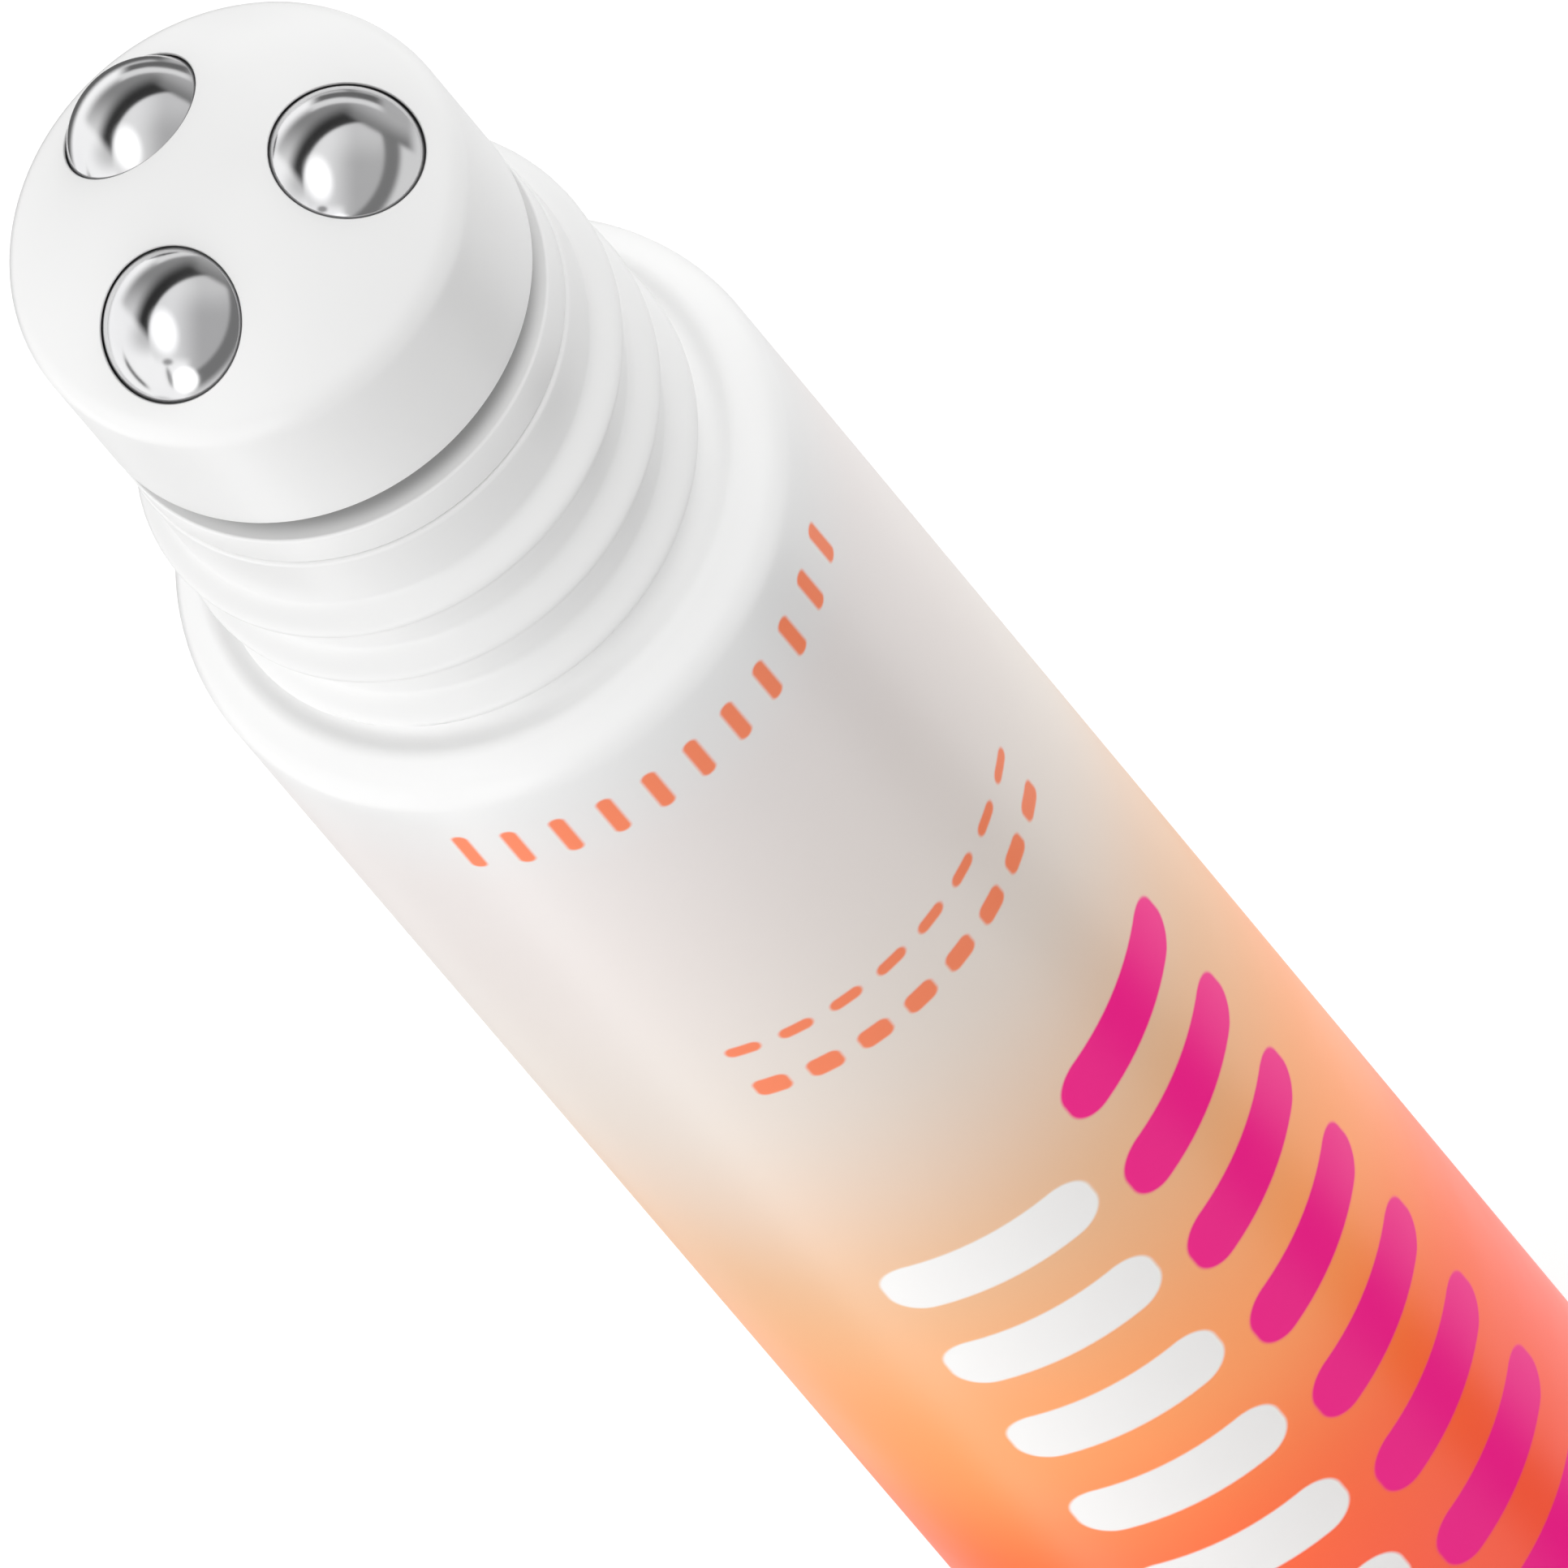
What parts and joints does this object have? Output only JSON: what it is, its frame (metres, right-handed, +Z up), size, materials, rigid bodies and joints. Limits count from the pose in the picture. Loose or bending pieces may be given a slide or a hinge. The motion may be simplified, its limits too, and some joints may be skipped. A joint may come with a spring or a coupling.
{
  "type": "eye serum bottle",
  "caption": "Slim round bottle with a threaded neck and a domed applicator head in which polished steel balls roll to spread eye serum.",
  "frame": {"origin": "centre of the circle that the bottle stands on, at the lower face of its base", "axes": "+Z up along the bottle's axis towards the roller head, +Y towards the ball that lies farthest from the viewer in the picture, +X to the right"},
  "size_m": [0.019, 0.019, 0.0985],
  "materials": {
    "bottle_plastic": "satin, white at the neck and fading to orange towards the base",
    "fitment_plastic": "satin white",
    "seat_plastic": "plain white",
    "housing_plastic": "smooth satin white",
    "ball_steel": "mirror-polished stainless steel"
  },
  "bodies": {
    "pack": {"bottle": "bottle_plastic", "roller_fitment": "fitment_plastic", "ball_seat": "seat_plastic", "roller_housing": "housing_plastic"},
    "ball_1": {"roller_ball_1": "ball_steel"},
    "ball_2": {"roller_ball_2": "ball_steel"},
    "ball_3": {"roller_ball_3": "ball_steel"}
  },
  "joints": [
    {"name": "ball_1_roll", "type": "hinge", "parent": "pack", "child": "ball_1", "pos_m": [0, 0.00359, 0.09581], "axis": [-1, 0, 0], "continuous": true},
    {"name": "ball_2_roll", "type": "hinge", "parent": "pack", "child": "ball_2", "pos_m": [-0.00311, -0.0018, 0.09581], "axis": [0.5, -0.866, 0], "continuous": true},
    {"name": "ball_3_roll", "type": "hinge", "parent": "pack", "child": "ball_3", "pos_m": [0.00311, -0.0018, 0.09581], "axis": [0.5, 0.866, 0], "continuous": true}
  ]
}
